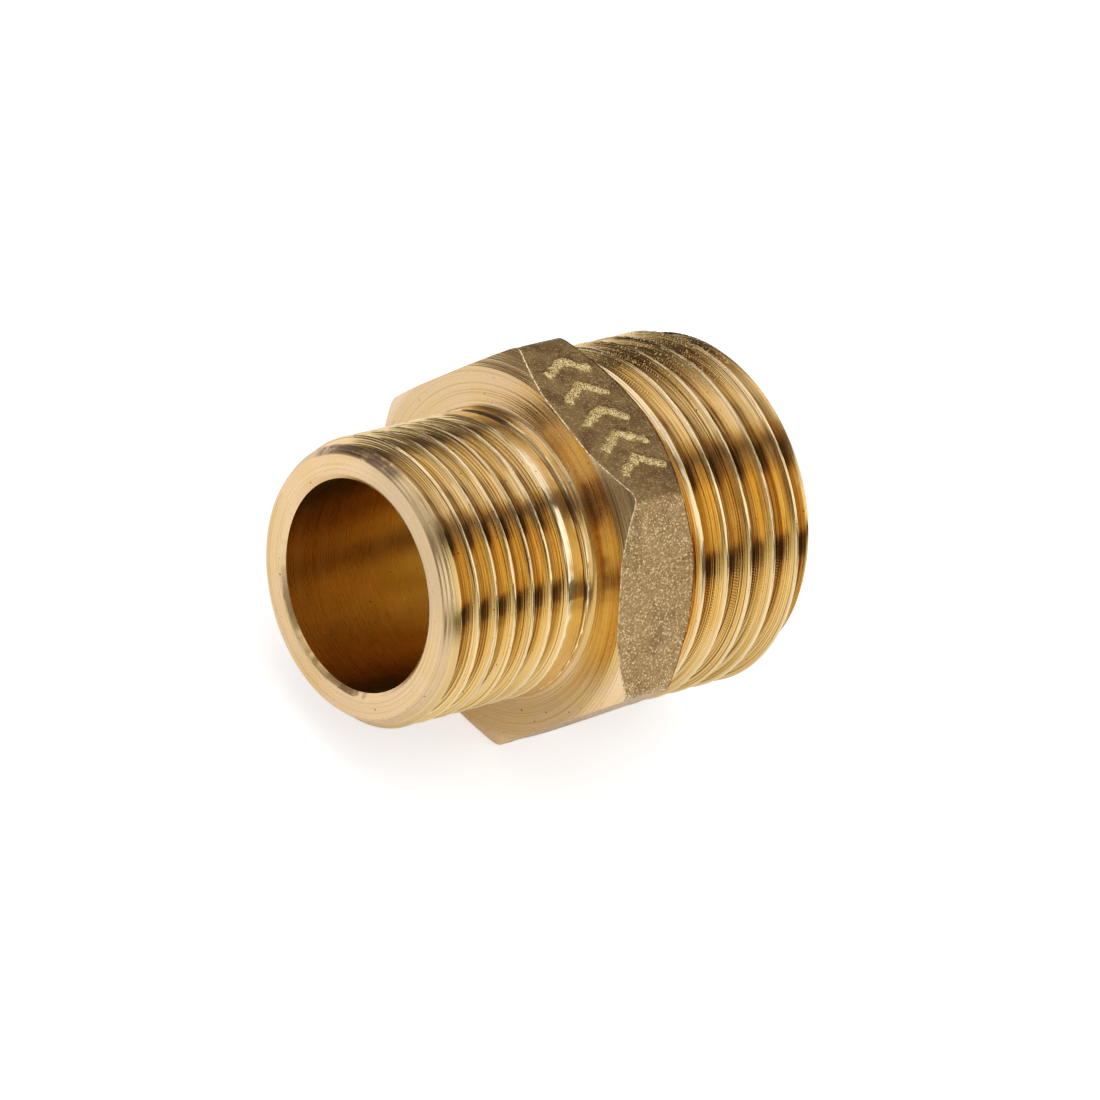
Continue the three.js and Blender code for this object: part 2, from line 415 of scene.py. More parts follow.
def mark_height(x, y):
    """Height of the raised chevrons at a place on the top flat."""
    nearest = np.full(np.broadcast(x, y).shape, 9.0)
    for i in range(MARK_COUNT):
        offset = (i - (MARK_COUNT - 1) / 2) * MARK_SPACING
        tip = (MARK_CENTRE_X, offset + MARK_TIP_Y)
        for side in (-1, 1):
            foot = (MARK_CENTRE_X + side * MARK_REACH, offset + MARK_FOOT_Y)
            nearest = np.minimum(nearest, distance_to_segment(x, y, tip, foot))
    ragged = 0.12 * smooth_noise(x * 3.2, y * 3.2, seed=11)
    ragged = ragged + 0.07 * smooth_noise(x * 7, y * 7, seed=12)
    wear = 0.78 + 0.22 * smooth_noise(x * 1.7, y * 1.7, seed=13)
    return MARK_HEIGHT * wear * (1 - smooth_step(nearest + ragged, 0.02, MARK_STROKE / 2 + 0.08))


def flat_relief(x, angle, radius):
    """Heights along a flat's normal: first its soft dents and grit, then the raised mark."""
    side = np.floor((angle % (2 * math.pi)) / (math.pi / 3))
    along = radius * np.sin(angle - (side + 0.5) * math.pi / 3) + 20 * side
    dents = 0.03 * smooth_noise(x * 0.7, along * 0.7, seed=21)
    grit = 0.012 * smooth_noise(x * 3.6, along * 3.6, seed=22)
    grit = grit + 0.008 * smooth_noise(x * 6.5, along * 6.5, seed=23)
    on_top = (side == 1) & (radius * np.sin(angle) > 0)
    mark = np.where(on_top, mark_height(x, radius * np.cos(angle)), 0)
    return dents + grit, mark


def steps(first, last, count):
    """A column of evenly spaced shares, one for each ring."""
    return np.linspace(first, last, count)[:, None]


def front_flat_edge(side):
    """x at which the forged flats begin, behind the front chamfer."""
    return HEX_FRONT + FRONT_CHAMFER_SLOPE * np.maximum(side - FRONT_CHAMFER_START, 0)


def rear_flat_edge(side):
    return HEX_REAR - REAR_CHAMFER_SLOPE * np.maximum(side - REAR_CHAMFER_START, 0)


def add_front_of_hexagon(skin, side, front_ring):
    """The fillet at the small thread, the turned face and the chamfer round it."""
    crest = SMALL_THREAD["crest_radius"]
    turn = steps(0, 1, 6)[1:] * math.pi / 2
    fillet_x = HEX_FRONT - FRONT_FILLET * (1 - np.sin(turn)) + 0 * side
    fillet_radius = crest + FRONT_FILLET * (1 - np.cos(turn)) + 0 * side
    face_edge = np.minimum(FRONT_CHAMFER_START, side)
    face_radius = fillet_radius[-1:] + steps(0, 1, 6)[1:] * (face_edge - fillet_radius[-1:])
    front = add_rings(
        skin,
        np.concatenate([fillet_x, HEX_FRONT + 0 * face_radius]),
        np.concatenate([fillet_radius, face_radius]),
        HEX_COLUMNS, TURNED, start_u=10,
    )
    join_coarse_to_fine(skin, front_ring, front[0], TURNED, coarse_first=True)
    cone_radius = face_edge + steps(0, 1, 6) * (side - face_edge)
    add_rings(skin, front_flat_edge(cone_radius), cone_radius, HEX_COLUMNS, TURNED, start_u=13)


def add_flats(skin, angle, side):
    """The as-forged flats with their worn edges, dents, grit and raised mark."""
    flat_from, flat_to = front_flat_edge(side), rear_flat_edge(side)
    nicks = 1 + 0.6 * smooth_noise(angle * HEX_COLUMNS / 12, 0, seed=24)
    inset = EDGE_ROUNDING * np.array([0, 0.12, 0.4, 1])[:, None] * nicks
    length = flat_to - flat_from - 2 * EDGE_ROUNDING
    flat_x = flat_from + EDGE_ROUNDING + steps(0, 1, FLAT_STEPS) * length
    flat_x = np.concatenate([flat_from + inset[:3], flat_x, flat_to - inset[2::-1]])
    edge_rows = len(inset)
    from_edge = np.minimum(flat_x - flat_from, flat_to - flat_x)
    relief, mark = flat_relief(flat_x, angle, side)
    edge_fade = smooth_step(from_edge, 0, 0.5)
    resting = (angle > math.pi * 4 / 3) & (angle < math.pi * 5 / 3)
    relief = np.minimum(relief, 0) * edge_fade * np.where(resting, 0.3, 1.0)
    within = np.clip(1 - from_edge / EDGE_ROUNDING, 0, 1)
    drop = 0.8 * EDGE_ROUNDING * (1 - np.sqrt(1 - 0.9 * within**2))
    drop[0] = drop[-1] = 0
    normal_share = np.cos((angle % (math.pi / 3)) - math.pi / 6)
    flat_radius = side + (relief + mark * edge_fade - drop) / normal_share
    for band, material in ((slice(0, edge_rows), EDGE), (slice(edge_rows - 1, None), FORGED)):
        add_rings(skin, flat_x[band], flat_radius[band], HEX_COLUMNS, material, start_u=15)


def add_rear_of_hexagon(skin, side, rear_ring):
    """The rear chamfer, the turned face inside it and the fillet down to the neck."""
    rear_edge = np.minimum(REAR_CHAMFER_START, side)
    cone_radius = rear_edge + steps(1, 0, 5) * (side - rear_edge)
    add_rings(skin, rear_flat_edge(cone_radius), cone_radius, HEX_COLUMNS, TURNED, start_u=22)

    fillet = REAR_NECK_FROM - HEX_REAR
    top = REAR_NECK_RADIUS + fillet
    face_radius = top + steps(1, 0, 4) * (rear_edge - top)
    turn = steps(1, 0, 5)[1:-1] * math.pi / 2
    fillet_x = HEX_REAR + fillet * (1 - np.sin(turn)) + 0 * side
    fillet_radius = REAR_NECK_RADIUS + fillet * (1 - np.cos(turn)) + 0 * side
    rear = add_rings(
        skin,
        np.concatenate([HEX_REAR + 0 * face_radius, fillet_x]),
        np.concatenate([face_radius, fillet_radius]),
        HEX_COLUMNS, TURNED, start_u=25,
    )
    join_coarse_to_fine(skin, rear_ring, rear[-1], TURNED, coarse_first=False)


def add_hexagon(skin, front_ring, rear_ring):
    """The hexagon, between the two threads' inner rings."""
    angle = ring_angles(HEX_COLUMNS)[None, :]
    side = hexagon_radius(angle)
    add_front_of_hexagon(skin, side, front_ring)
    add_flats(skin, angle, side)
    add_rear_of_hexagon(skin, side, rear_ring)


# ---------------------------------------------------------------- end faces and bore

def add_small_face(skin):
    """The bore's worn bevel, the end face and the stepped chamfer round it."""
    angle = ring_angles(THREAD_COLUMNS)[None, :]
    wear = smooth_noise(angle * 9, 0, seed=31) + smooth_noise(angle * 25, 0, seed=32)
    wear = 0.05 * wear * smooth_step(np.cos(angle + math.radians(75)), -0.2, 0.6)
    share = np.array([0, 0.55, 1])[:, None]
    bevel_radius = BORE_RADIUS + share * (BORE_BEVEL_WIDTH + wear)
    bevel_x = BORE_BEVEL_DEPTH * np.array([1, 0.4, 0])[:, None] + 0 * wear
    mouth = bevel_radius[-1:]
    face_radius = mouth + np.array([0.25, 0.5, 0.75])[:, None] * (SMALL_FACE_RADIUS - mouth)
    chamfer = np.array(CHAMFER_STEPS)[:, :, None] + 0 * wear
    x = np.concatenate([bevel_x, 0 * face_radius, chamfer[:, 0]])
    radius = np.concatenate([bevel_radius, face_radius, chamfer[:, 1]])
    add_rings(skin, x, radius, THREAD_COLUMNS, TURNED)


def add_large_face(skin):
    mouth = WIDE_BORE_RADIUS + BORE_BEVEL_WIDTH
    radius = np.concatenate([np.linspace(LARGE_FACE_RADIUS, mouth, 5), [WIDE_BORE_RADIUS]])
    x = LENGTH - np.array([0, 0, 0, 0, 0, BORE_BEVEL_DEPTH])
    add_rings(skin, x, radius, THREAD_COLUMNS, TURNED, start_u=30)


def add_bore(skin):
    wide = np.linspace(LENGTH - BORE_BEVEL_DEPTH, WIDE_BORE_FROM, 3)
    narrow = np.linspace(WIDE_BORE_FROM - DRILL_POINT_DEPTH, BORE_BEVEL_DEPTH, 4)
    x = np.concatenate([wide, narrow])
    radius = np.concatenate([0 * wide + WIDE_BORE_RADIUS, 0 * narrow + BORE_RADIUS])
    add_rings(skin, x, radius, THREAD_COLUMNS, BORE, start_u=40)


def nipple_mesh():
    skin = Skin()
    crest = SMALL_THREAD["crest_radius"]
    add_small_face(skin)
    _, front_ring = add_thread(
        skin, SMALL_THREAD,
        start=CHAMFER_STEPS[-1],
        end=(HEX_FRONT - FRONT_FILLET, crest),
        blank_radius=small_blank_radius,
    )
    rear_ring, _ = add_thread(
        skin, LARGE_THREAD,
        start=(REAR_NECK_FROM, REAR_NECK_RADIUS),
        end=(LENGTH, LARGE_FACE_RADIUS),
        blank_radius=large_blank_radius,
    )
    add_hexagon(skin, front_ring, rear_ring)
    add_large_face(skin)
    add_bore(skin)
    return skin.mesh("nipple")


# ---------------------------------------------------------------- node helpers

def new_material(name):
    material = bpy.data.materials.new(name)
    material.use_nodes = True
    material.node_tree.nodes.clear()
    return material, material.node_tree


class Graph:
    """Short calls for making and linking shader nodes."""

    def __init__(self, tree):
        self.tree = tree

    def node(self, kind, inputs=None, **settings):
        node = self.tree.nodes.new(kind)
        for key, value in settings.items():
            setattr(node, key, value)
        for key, value in (inputs or {}).items():
            if isinstance(value, bpy.types.NodeSocket):
                self.tree.links.new(value, node.inputs[key])
            else:
                node.inputs[key].default_value = value
        return node

    def math(self, operation, a, b=0.0):
        return self.node("ShaderNodeMath", {0: a, 1: b}, operation=operation).outputs[0]

    def product(self, first, *others):
        for other in others:
            first = self.math("MULTIPLY", first, other)
        return first

    def remap(self, value, low, high, out_low=0.0, out_high=1.0):
        node = self.node(
            "ShaderNodeMapRange",
            {"Value": value, 1: low, 2: high, 3: out_low, 4: out_high},
            interpolation_type="SMOOTHSTEP",
        )
        return node.outputs[0]

    def between(self, value, low, high, edge):
        """1 where value lies between low and high, easing to 0 over the edge width."""
        rise = self.remap(value, low - edge, low + edge)
        fall = self.remap(value, high - edge, high + edge, 1.0, 0.0)
        return self.product(rise, fall)

    def noise(self, vector, scale, detail=2.0, roughness=0.5):
        node = self.node(
            "ShaderNodeTexNoise",
            {"Vector": vector, "Scale": scale, "Detail": detail, "Roughness": roughness},
        )
        return node.outputs[0]

    def stretch(self, vector, x, y, z):
        node = self.node(
            "ShaderNodeVectorMath", {0: vector, 1: (x, y, z)}, operation="MULTIPLY"
        )
        return node.outputs[0]

    def mix(self, factor, a, b):
        node = self.node("ShaderNodeMix", data_type="RGBA")
        for index, value in ((0, factor), (6, a), (7, b)):
            if isinstance(value, bpy.types.NodeSocket):
                self.tree.links.new(value, node.inputs[index])
            else:
                node.inputs[index].default_value = value
        return node.outputs[2]

    def bump(self, height, distance_mm, strength=1.0, normal=None):
        inputs = {"Height": height, "Distance": distance_mm * MM, "Strength": strength}
        if normal is not None:
            inputs["Normal"] = normal
        return self.node("ShaderNodeBump", inputs).outputs[0]


# ---------------------------------------------------------------- brass

# Linear colours of the metal, with the colours painted on as highlight, shade and reflection
BRASS = (0.9, 0.645, 0.38, 1)
BRASS_GOLD = (0.9, 0.66, 0.36, 1)
BRASS_WARM = (0.85, 0.56, 0.2, 1)
BRASS_DARK = (0.14, 0.075, 0.03, 1)
# Painted shade: the bore's brass is darker and warmer, for the shade and the light bounced inside
# it.
BRASS_BORE = (0.63, 0.43, 0.12, 1)
# Paler brass painted on as a highlight: on the crests, the hexagon's front edges and the ridges of
# the tool's lines
BRASS_HIGHLIGHT = (1.0, 0.83, 0.56, 1)
BRASS_DULL_AND_SHADED = (0.55, 0.43, 0.3, 1)
BURR_GLINT = (1.0, 0.76, 0.4, 1)
GLINT = (1.0, 0.78, 0.42, 1)
STAIN = (0.16, 0.1, 0.1, 1)
EDGE_DARK = (0.45, 0.32, 0.18, 1)
FORGED_DARK = (0.42, 0.272, 0.145, 1)
FORGED_PALE = (0.64, 0.43, 0.235, 1)
FORGED_PATCH = (0.27, 0.185, 0.105, 1)
TOP_FLAT_PALE = (0.34, 0.24, 0.13, 1)
TOP_FLAT_DARK = (0.24, 0.165, 0.09, 1)
MARK_GOLD = (1.0, 0.76, 0.38, 1)

# Sides of the nipple where the brass looks different, some of them by painted reflection and shade:
# degrees round the axis, from +Y towards +Z
WARM_REFLECTION_SIDE = (116, 235)
SHADED_FACE_SIDE = (118, 178)
SHADED_END_SIDE = (70, 152)
STAINED_SIDE = (32, 82)
BURRED_SIDE = (40, 82)
RIPPLED_SIDE = (10, 112)
CHATTER_SIDES = ((15, 88), (155, 190))

CHATTER_PER_TURN = 330
FRONT_FACE = (HEX_FRONT - 0.25, HEX_FRONT + 0.25)
SMALL_CREST = SMALL_THREAD["crest_radius"]
LARGE_CREST = LARGE_THREAD["crest_radius"]
TOP_FLAT_HEIGHT = (AXIS_HEIGHT + ACROSS_FLATS / 2) * MM


class Place:
    """Where a point of the metal is: its angle round the bore axis, x from the small end, radius.

    The angle is in degrees, the lengths in mm. round_turn counts turns along the helix.
    """

    def __init__(self, graph):
        self.position = graph.node("ShaderNodeTexCoord").outputs["Object"]
        x, y, z = graph.node("ShaderNodeSeparateXYZ", {0: self.position}).outputs
        z = graph.math("SUBTRACT", z, AXIS_HEIGHT * MM)
        angle = graph.math("DEGREES", graph.math("ARCTAN2", z, y))
        self.angle = graph.math("MODULO", graph.math("ADD", angle, 360), 360)
        squares = graph.math("ADD", graph.product(y, y), graph.product(z, z))
        self.radius = graph.product(graph.math("SQRT", squares), 1 / MM)
        self.from_end = graph.math("SUBTRACT", graph.product(x, 1 / MM), SMALL_END_X)
        turning = graph.node("ShaderNodeUVMap", uv_map="turning").outputs[0]
        self.round_turn = graph.node("ShaderNodeSeparateXYZ", {0: turning}).outputs[1]


def pits(graph, position):
    """1 in the small ragged pits scattered over the metal, 0 elsewhere."""
    wobble = graph.remap(graph.noise(position, 9 / MM, 1.0), 0.3, 0.7, 0, 0.06)
    marks = 0.0
    for per_mm, reach in ((1.0, 0.075), (2.3, 0.085)):
        cells = graph.node("ShaderNodeTexVoronoi", {"Vector": position, "Scale": per_mm / MM})
        distance = graph.math("ADD", cells.outputs["Distance"], wobble)
        pit = graph.remap(distance, reach * 0.7, reach * 1.3, 1.0, 0.0)
        marks = graph.math("MAXIMUM", marks, pit)
    return marks


def finish(graph, material, color, roughness, normal, anisotropy=0.0):
    shader = graph.node(
        "ShaderNodeBsdfPrincipled",
        {"Base Color": color, "Metallic": 1.0, "Roughness": roughness, "Normal": normal,
         "Anisotropic": anisotropy},
    )
    if anisotropy:
        tangent = graph.node("ShaderNodeTangent", direction_type="UV_MAP", uv_map="turning")
        graph.tree.links.new(tangent.outputs[0], shader.inputs["Tangent"])
    output = graph.node("ShaderNodeOutputMaterial")
    graph.tree.links.new(shader.outputs[0], output.inputs["Surface"])
    return material


def along_the_tool(graph, place, threaded):
    """A vector that changes across the tool's lines in x, and along them in y."""
    across = graph.math("ADD", place.radius, place.from_end)
    if threaded:
        large = graph.math("GREATER_THAN", place.from_end, HEX_FRONT)
        step = LARGE_THREAD["pitch"] - SMALL_THREAD["pitch"]
        pitch = graph.math("ADD", graph.product(large, step), SMALL_THREAD["pitch"])
        across = graph.math("SUBTRACT", across, graph.product(place.round_turn, pitch))
    return graph.node("ShaderNodeCombineXYZ", {0: across, 1: place.round_turn}).outputs[0]


def tool_lines(graph, turning, lines_per_mm):
    coarse = graph.noise(graph.stretch(turning, lines_per_mm, 1.5, 1), 1.0, 1.0)
    fine = graph.noise(graph.stretch(turning, lines_per_mm * 2.6, 5.0, 1), 1.0, 1.0)
    return graph.math("ADD", graph.product(coarse, 0.7), graph.product(fine, 0.3))


def warmed_and_shaded(graph, place, color, threaded):
    """Warmer brass in random patches, with painted light as well: a painted warm reflection on one
    side of the threads, and painted shade, warmer and darker, on part of the front face and slightly
    over all of it.
    """
    warm = graph.remap(graph.noise(place.position, 0.4 / MM, 3.0), 0.4, 0.7, 0.0, 0.4)
    if threaded:
        # Painted reflection: one side of the threads is tinted amber for the light bounced between
        # the flanks.
        warm = graph.math("MAXIMUM", warm, graph.between(place.angle, *WARM_REFLECTION_SIDE, 8))
        warm = graph.product(warm, graph.remap(place.angle, 150, 175, 0.82, 0.72))
        return graph.mix(warm, color, BRASS_WARM)
    on_face = graph.between(place.from_end, *FRONT_FACE, 0.1)
    # Painted shade: part of the front face is tinted warmer and darker, and the whole face slightly
    # darker.
    shaded_face = graph.product(on_face, graph.between(place.angle, *SHADED_FACE_SIDE, 14))
    warm = graph.math("MAXIMUM", warm, graph.product(shaded_face, 0.8))
    color = graph.mix(graph.product(shaded_face, 0.4), color, BRASS_DARK)
    color = graph.mix(graph.product(on_face, 0.12), color, BRASS_DARK)
    return graph.mix(graph.product(warm, 0.9), color, BRASS_WARM)


def small_crests(graph, place):
    """1 on the small thread's crests and on the land where it runs out."""
    return graph.product(
        graph.remap(place.radius, SMALL_CREST - 0.12, SMALL_CREST - 0.05),
        graph.remap(place.from_end, HEX_FRONT + 0.45, HEX_FRONT - 0.05),
    )


def thread_land(graph, place):
    """1 on the plain land where the small thread runs out."""
    land_from = SMALL_THREAD["full_to"]
    past_thread = graph.remap(place.from_end, land_from - 0.25, land_from + 0.15)
    return graph.product(small_crests(graph, place), past_thread)


def thread_roots(graph, place):
    """1 in the roots of both threads and in the groove where the small one runs out."""
    eased_to = SMALL_THREAD["eased_to"]
    small_root = graph.product(
        graph.remap(place.radius, SMALL_CREST - 0.34, SMALL_CREST - 0.79),
        graph.remap(place.from_end, eased_to + 0.2, eased_to - 0.3),
    )
    large_root = graph.product(
        graph.remap(place.radius, LARGE_CREST - 0.49, LARGE_CREST - 1.04),
        graph.remap(place.from_end, LARGE_THREAD["eased_to"], REAR_NECK_TO),
    )
    run_out = graph.product(
        graph.remap(place.radius, SMALL_CREST - 0.03, SMALL_CREST - 0.09),
        graph.between(place.from_end, eased_to - 0.3, SMALL_THREAD["end_at"] + 0.1, 0.1),
    )
    return graph.math("MAXIMUM", graph.math("MAXIMUM", small_root, large_root), run_out)


def crest_highlight_and_root_shade(graph, place, tint):
    """Crests and land painted bright as a painted highlight, and roots painted dark as painted
    shade.
    """
    large_crests = graph.remap(place.radius, LARGE_CREST - 0.14, LARGE_CREST - 0.05)
    crest = graph.math("MAXIMUM", small_crests(graph, place), large_crests)
    highlight_strength = graph.remap(thread_land(graph, place), 0, 1, 0.5, 0.9)
    # Painted highlight on the crests, strongest on the land; painted shade in the roots.
    tint = graph.mix(graph.product(crest, highlight_strength), tint, BRASS_HIGHLIGHT)
    return graph.mix(graph.product(thread_roots(graph, place), 0.55), tint, BRASS_DARK)


def stained(graph, place):
    """1 in the blotchy stain on the upper rim of the small end."""
    blotches = graph.noise(place.position, 1.3 / MM, 3.0)
    return graph.product(
        graph.between(place.angle, *STAINED_SIDE, 4),
        graph.between(place.radius, SMALL_FACE_RADIUS - 0.03, SMALL_CREST - 0.09, 0.08),
        graph.between(place.from_end, -0.5, 0.7, 0.2),
        graph.remap(blotches, 0.3, 0.5, 0.1, 0.8),
    )


def with_burrs(graph, place, tint, normal):
    """Torn flecks of metal on the far top of the large thread, on a darkened patch, the flecks
    painted bright as glints.
    """
    side = graph.between(place.angle, *BURRED_SIDE, 8)
    burrs = graph.product(side, graph.remap(place.from_end, 17.5, 19.5))
    flecks = graph.remap(graph.noise(place.position, 7 / MM, 1.0), 0.61, 0.73)
    tint = graph.mix(graph.product(burrs, 0.35), tint, BRASS_DARK)
    # Painted glints: the flecks are tinted bright gold.
    tint = graph.mix(graph.product(burrs, flecks), tint, BURR_GLINT)
    return tint, graph.bump(graph.product(flecks, burrs), 0.04, 1.0, normal)


def with_chatter(graph, place, turning, tint, normal):
    """Short ticks across the large thread's flanks, where the tool chattered."""
    first_side, second_side = (graph.between(place.angle, *side, 8) for side in CHATTER_SIDES)
    patchy = graph.product(
        graph.remap(graph.noise(graph.stretch(turning, 1.2, 7, 1), 1.0, 2.0), 0.42, 0.6),
        graph.between(place.from_end, REAR_NECK_FROM + 0.5, LENGTH - LARGE_CHAMFER - 0.3, 0.3),
        graph.between(place.radius, LARGE_CREST - 1.09, LARGE_CREST - 0.49, 0.1),
        graph.math("ADD", first_side, second_side),
    )
    wave = graph.math("SINE", graph.product(place.round_turn, CHATTER_PER_TURN * 2 * math.pi))
    ticks = graph.product(wave, patchy)
    tint = graph.mix(graph.product(ticks, 0.45), tint, BRASS_DARK)
    return tint, graph.bump(ticks, 0.004, 1.0, normal)


def machined_brass(name, lines_per_mm, line_depth, roughness, anisotropy, line_shading, color, threaded):
    """Brass cut on a lathe: fine lines follow the tool, and the gloss is stretched across them.

    On the threads the lines follow the helix. Elsewhere they are plain circles round the axis.
    """
    material, tree = new_material(name)
    graph = Graph(tree)
    place = Place(graph)
    turning = along_the_tool(graph, place, threaded)
    lines = tool_lines(graph, turning, lines_per_mm)
    dark_pits = pits(graph, place.position)
    stain = stained(graph, place)
    land = thread_land(graph, place) if threaded else 0.0
    chamfer = graph.product(
        graph.remap(place.radius, SMALL_FACE_RADIUS - 0.03, SMALL_FACE_RADIUS + 0.07),
        graph.remap(place.from_end, SMALL_CHAMFER + 0.05, SMALL_CHAMFER - 0.15),
    )
    end_face = graph.remap(place.from_end, 0.3, 0.05)

    tint = warmed_and_shaded(graph, place, color, threaded)
    # The tool's lines are painted darker in their troughs as painted shade, and paler on their
    # ridges as painted highlight.
    tint = graph.mix(graph.remap(lines, 0.48, 0.36, 0.0, line_shading), tint, BRASS_DARK)
    tint = graph.mix(graph.remap(lines, 0.53, 0.63, 0.0, 0.7 * line_shading), tint, BRASS_HIGHLIGHT)
    if threaded:
        tint = crest_highlight_and_root_shade(graph, place, tint)
    tint = graph.mix(graph.product(dark_pits, 0.8), tint, BRASS_DARK)
    tint = graph.mix(stain, tint, STAIN)
    # Painted shade: one side of the small end face is painted duller and darker.
    shaded_end = graph.product(graph.between(place.angle, *SHADED_END_SIDE, 18), end_face)
    tint = graph.mix(graph.product(shaded_end, 0.45), tint, BRASS_DULL_AND_SHADED)
    tint = graph.mix(graph.product(chamfer, 0.3), tint, BRASS_DULL_AND_SHADED)

    roughness = graph.math("ADD", roughness, graph.remap(lines, 0.3, 0.7, -0.05, 0.05))
    roughness = graph.math("ADD", roughness, graph.product(chamfer, 0.1))
    roughness = graph.math("ADD", roughness, graph.product(stain, 0.2))

    flat_end = graph.remap(place.from_end, 0.02, 0.0)
    rippled = graph.remap(graph.between(place.angle, *RIPPLED_SIDE, 10), 0.0, 1.0, 0.5, 1.0)
    depth = graph.product(
        graph.math("SUBTRACT", 1.0, graph.product(flat_end, 0.8)),
        rippled,
        graph.math("SUBTRACT", 1.0, graph.product(land, 0.7)),
    )
    normal = graph.bump(graph.product(lines, depth), line_depth)
    tint, normal = with_burrs(graph, place, tint, normal)
    tint, normal = with_chatter(graph, place, turning, tint, normal)
    normal = graph.bump(graph.math("SUBTRACT", 1.0, dark_pits), 0.012, 0.6, normal)
    return finish(graph, material, tint, roughness, normal, anisotropy)


def edge_highlight_brass():
    """The hexagon's front edges, painted bright in places as a painted highlight."""
    material, tree = new_material("brass_edge_highlight")
    graph = Graph(tree)
    position = graph.node("ShaderNodeTexCoord").outputs["Object"]
    nicks = graph.noise(position, 5 / MM, 2.0)
    tint = graph.mix(graph.remap(nicks, 0.36, 0.62), EDGE_DARK, BRASS_HIGHLIGHT)
    return finish(graph, material, tint, 0.36, graph.bump(nicks, 0.06))


def forged_brass():
    """The hexagon's flats as they left the forge: gritty, with glinting grains and a rough mark."""
    material, tree = new_material("brass_forged")
    graph = Graph(tree)
    position = graph.node("ShaderNodeTexCoord").outputs["Object"]
    height = graph.node("ShaderNodeSeparateXYZ", {0: position}).outputs[2]
    top = graph.remap(height, TOP_FLAT_HEIGHT - 0.4 * MM, TOP_FLAT_HEIGHT - 0.15 * MM)
    raised = graph.remap(height, TOP_FLAT_HEIGHT + 0.02 * MM, TOP_FLAT_HEIGHT + 0.08 * MM)
    grit = graph.noise(position, 8.5 / MM, 2.0, 0.6)
    cells = graph.node("ShaderNodeTexVoronoi", {"Vector": position, "Scale": 10 / MM})
    grains = cells.outputs["Distance"]
    chance = graph.node("ShaderNodeSeparateXYZ", {0: cells.outputs["Color"]}).outputs[0]
    patches = graph.noise(position, 0.8 / MM, 3.0)

    tint = graph.mix(graph.remap(grit, 0.35, 0.62), FORGED_DARK, FORGED_PALE)
    tint = graph.mix(graph.remap(patches, 0.5, 0.72, 0.0, 0.55), tint, FORGED_PATCH)
    tarnish = graph.mix(graph.remap(patches, 0.38, 0.66), TOP_FLAT_PALE, TOP_FLAT_DARK)
    tint = graph.mix(top, tint, tarnish)
    worn = graph.product(raised, graph.remap(grit, 0.36, 0.56, 0.1, 1.0))
    tint = graph.mix(worn, tint, MARK_GOLD)

    plain = graph.product(top, graph.math("SUBTRACT", 1.0, raised))
    glints = graph.product(
        graph.math("SUBTRACT", 1.0, graph.product(plain, 0.75)),
        graph.remap(chance, 0.72, 0.82),
        graph.remap(grains, 0.7, 0.45),
    )
    tint = graph.mix(glints, tint, GLINT)

    depth = graph.math("SUBTRACT", 1.0, graph.product(top, 0.5))
    depth = graph.math("ADD", depth, graph.product(raised, 0.3))
    normal = graph.bump(graph.product(grit, depth), 0.1)
    normal = graph.bump(graph.product(grains, depth), 0.06, 1.0, normal)
    roughness = graph.remap(top, 0.0, 1.0, 0.28, 0.38)
    roughness = graph.math("SUBTRACT", roughness, graph.product(raised, 0.12))
    return finish(graph, material, tint, roughness, normal)


def brass_materials():
    thread = machined_brass(
        "brass_thread", lines_per_mm=8, line_depth=0.062, roughness=0.12, anisotropy=0.65,
        line_shading=0.75, color=BRASS_GOLD, threaded=True,
    )
    turned = machined_brass(
        "brass_turned", lines_per_mm=7, line_depth=0.045, roughness=0.26, anisotropy=0.65,
        line_shading=0.2, color=BRASS, threaded=False,
    )
    bore = machined_brass(
        "brass_bore", lines_per_mm=9, line_depth=0.006, roughness=0.3, anisotropy=0.6,
        line_shading=0.08, color=BRASS_BORE, threaded=False,
    )
    return [thread, turned, forged_brass(), bore, edge_highlight_brass()]


# ---------------------------------------------------------------- floor, light and camera

# Lengths here are metres, apart from the camera's lens and sensor
FLOOR_RADIUS = 0.16
FLOOR_DROP = 0.00002
FLOOR_COLOR = (0.8, 0.8, 0.8, 1)
FLOOR_GLOW = (0.975, 0.98, 1, 1)
FLOOR_GLOW_SEEN = 0.58
FLOOR_GLOW_REFLECTED = 0.24
CAMERA_AIM = Vector((-4.43, -4.53, 15.79)) * MM
CAMERA_AZIMUTH = math.radians(303.997)
CAMERA_ELEVATION = math.radians(39.28)
CAMERA_ROLL = math.radians(29.03)
CAMERA_DISTANCE = 0.42605
CAMERA_LENS = 250.7
SENSOR = 36


def add_floor():
    bpy.ops.mesh.primitive_circle_add(vertices=96, radius=FLOOR_RADIUS, fill_type="NGON")
    floor = bpy.context.object
    floor.name = "floor"
    floor.location.z = -FLOOR_DROP
    material, tree = new_material("pale_floor")
    graph = Graph(tree)
    diffuse = graph.node("ShaderNodeBsdfDiffuse", {"Color": FLOOR_COLOR})
    seen = graph.node("ShaderNodeLightPath").outputs["Is Camera Ray"]
    strength = graph.remap(seen, 0.0, 1.0, FLOOR_GLOW_REFLECTED, FLOOR_GLOW_SEEN)
    glow = graph.node("ShaderNodeEmission", {"Color": FLOOR_GLOW, "Strength": strength})
    both = graph.node("ShaderNodeAddShader", {0: diffuse.outputs[0], 1: glow.outputs[0]})
    graph.node("ShaderNodeOutputMaterial", {"Surface": both.outputs[0]})
    floor.data.materials.append(material)


